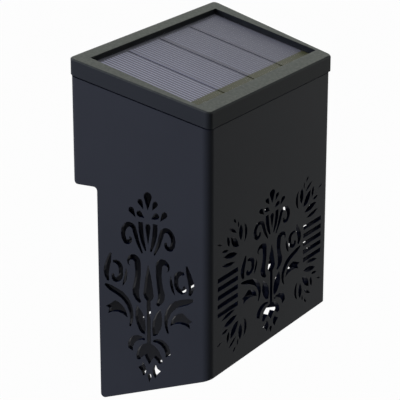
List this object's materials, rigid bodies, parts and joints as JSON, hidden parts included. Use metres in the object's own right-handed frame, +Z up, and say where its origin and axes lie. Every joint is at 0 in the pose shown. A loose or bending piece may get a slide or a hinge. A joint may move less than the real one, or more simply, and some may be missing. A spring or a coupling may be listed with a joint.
{
  "type": "fence light",
  "caption": "Box-shaped solar fence light that hangs over a fence edge, with a sloping panel lid and a body cut through with a scrolled damask pattern and louvres.",
  "frame": {"origin": "on the fence's face, midway between the two fixing screws", "axes": "+X to the right seen from the front, +Y into the fence, +Z up"},
  "size_m": [0.1002, 0.0558, 0.1299],
  "materials": {
    "shell_plastic": "satin charcoal moulding",
    "lid_plastic": "satin charcoal moulding with a fine texture",
    "tray_plastic": "matt black moulding",
    "door_plastic": "matt black moulding",
    "knob_plastic": "natural nylon",
    "panel_resin": "clear cast resin",
    "solar_silicon": "blue-grey silicon with fine printed fingers",
    "tinned_ribbon": "tinned copper",
    "panel_board": "olive laminate",
    "control_board": "green laminate",
    "foam": "closed-cell foam",
    "screw_steel": "zinc-plated steel",
    "contact_steel": "nickel-plated spring steel",
    "battery_sleeve": "plain green shrink sleeve",
    "lamp_lens": "clear epoxy dome",
    "chip_black": "moulded epoxy",
    "coil_green": "lacquered coil",
    "wire_red": "insulated wire",
    "wire_black": "insulated wire"
  },
  "bodies": {
    "base": {"body_shell": "shell_plastic", "lid_frame": "lid_plastic", "panel_bed": "foam", "panel_board": "panel_board", "panel_cells": "solar_silicon", "panel_ribbons": "tinned_ribbon", "panel_resin": "panel_resin", "lower_tray": "tray_plastic", "tray_seal": "foam", "case_screws": "screw_steel", "battery_plus_contact": "contact_steel", "battery_minus_contact": "contact_steel", "control_board": "control_board", "board_screws": "screw_steel", "lamp": "lamp_lens", "lamp_legs": "contact_steel", "switch_case": "contact_steel", "charge_chip": "chip_black", "inductor": "coil_green", "panel_wire_red": "wire_red", "panel_wire_black": "wire_black", "battery_wire_red": "wire_red", "battery_wire_black": "wire_black"},
    "switch": {"switch_knob": "knob_plastic"},
    "door": {"battery_door": "door_plastic"},
    "door_screws": {"battery_door_screws": "screw_steel"},
    "battery": {"battery_cell": "battery_sleeve"}
  },
  "joints": [
    {"name": "switch_slide", "type": "slide", "parent": "base", "child": "switch", "axis": [1, 0, 0], "range_m": [0, 0.002]},
    {"name": "door_lift_off", "type": "slide", "parent": "base", "child": "door", "axis": [0, 0, -1], "range_m": [0, 0.06]},
    {"name": "door_screws_out", "type": "slide", "parent": "door", "child": "door_screws", "axis": [0, 0, -1], "range_m": [0, 0.008]},
    {"name": "battery_drop", "type": "slide", "parent": "base", "child": "battery", "axis": [0, 0, -1], "range_m": [0, 0.048]}
  ],
  "couplings": [
    {"joint": "battery_drop", "follows": "door_lift_off", "ratio": 0.8}
  ]
}
